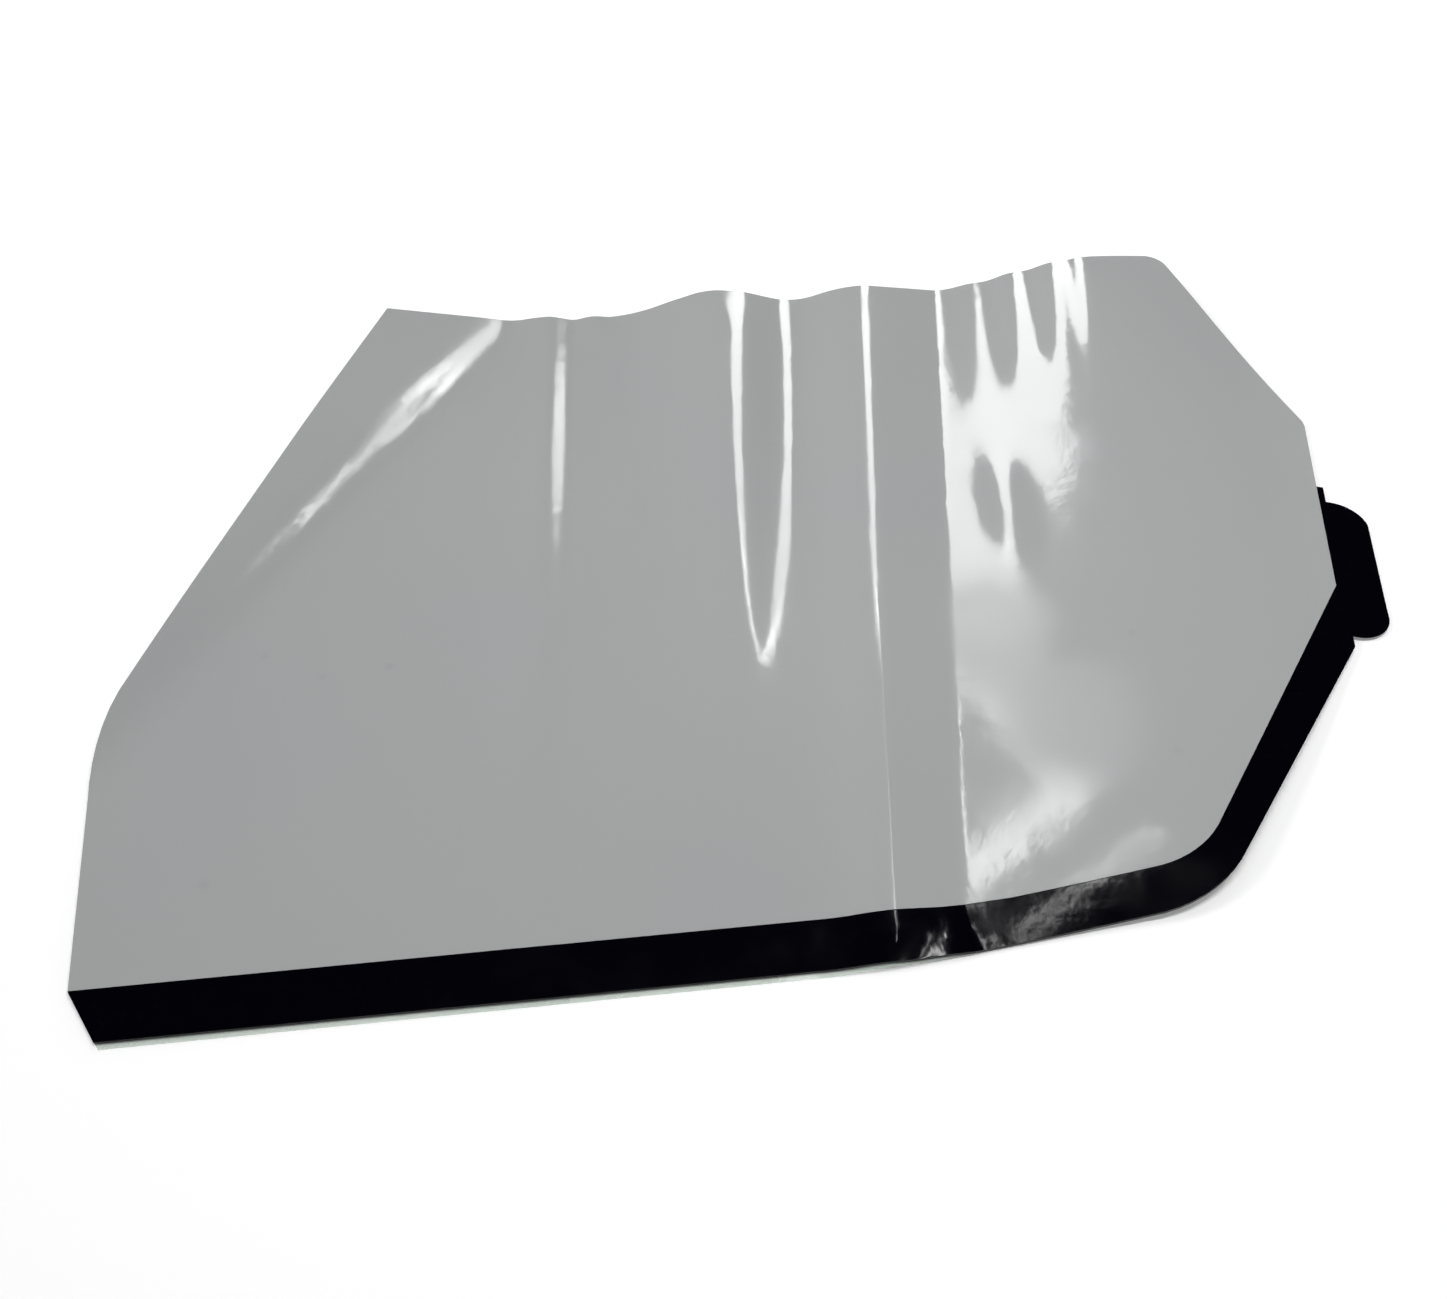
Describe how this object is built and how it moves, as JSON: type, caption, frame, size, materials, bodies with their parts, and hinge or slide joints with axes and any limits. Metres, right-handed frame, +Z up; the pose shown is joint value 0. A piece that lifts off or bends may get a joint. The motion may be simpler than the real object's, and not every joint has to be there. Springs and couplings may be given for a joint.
{
  "type": "flexible solar sheet",
  "caption": "Thin rippled solar laminate lying face down, with a white back film, a black border along two edges, foil cells inside and a flat connection tail.",
  "frame": {"origin": "middle of the sheet's box, on the surface that it lies on", "axes": "+X to the right along the straight front edge, +Y towards the rippled back edge, +Z up"},
  "size_m": [1.0986, 0.8278, 0.0408],
  "materials": {
    "white_film": "glossy white film",
    "black_film": "glossy black film",
    "clear_film": "clear glossy film, faintly green",
    "clear_resin": "clear soft resin",
    "edge_rubber": "matt black butyl",
    "cell_foil": "dark coated metal foil",
    "tinned_ribbon": "bright tinned copper"
  },
  "bodies": {
    "root": {"back_film": "white_film", "base_film": "black_film", "cell_01": "cell_foil", "cell_02": "cell_foil", "cell_03": "cell_foil", "cell_04": "cell_foil", "cell_05": "cell_foil", "cell_06": "cell_foil", "cell_07": "cell_foil", "cell_08": "cell_foil", "cell_09": "cell_foil", "cell_10": "cell_foil", "cell_11": "cell_foil", "cell_12": "cell_foil", "cell_13": "cell_foil", "cell_14": "cell_foil", "edge_seal": "edge_rubber", "front_encapsulant": "clear_resin", "front_film": "clear_film", "interconnect_01": "tinned_ribbon", "interconnect_02": "tinned_ribbon", "interconnect_03": "tinned_ribbon", "interconnect_04": "tinned_ribbon", "interconnect_05": "tinned_ribbon", "interconnect_06": "tinned_ribbon", "interconnect_07": "tinned_ribbon", "interconnect_08": "tinned_ribbon", "interconnect_09": "tinned_ribbon", "interconnect_10": "tinned_ribbon", "interconnect_11": "tinned_ribbon", "interconnect_12": "tinned_ribbon", "interconnect_13": "tinned_ribbon", "negative_bus": "tinned_ribbon", "negative_lead": "tinned_ribbon", "positive_bus": "tinned_ribbon", "positive_lead": "tinned_ribbon", "positive_return": "tinned_ribbon", "rear_encapsulant": "clear_resin", "tail_base": "black_film", "tail_cover": "black_film"}
  },
  "joints": []
}
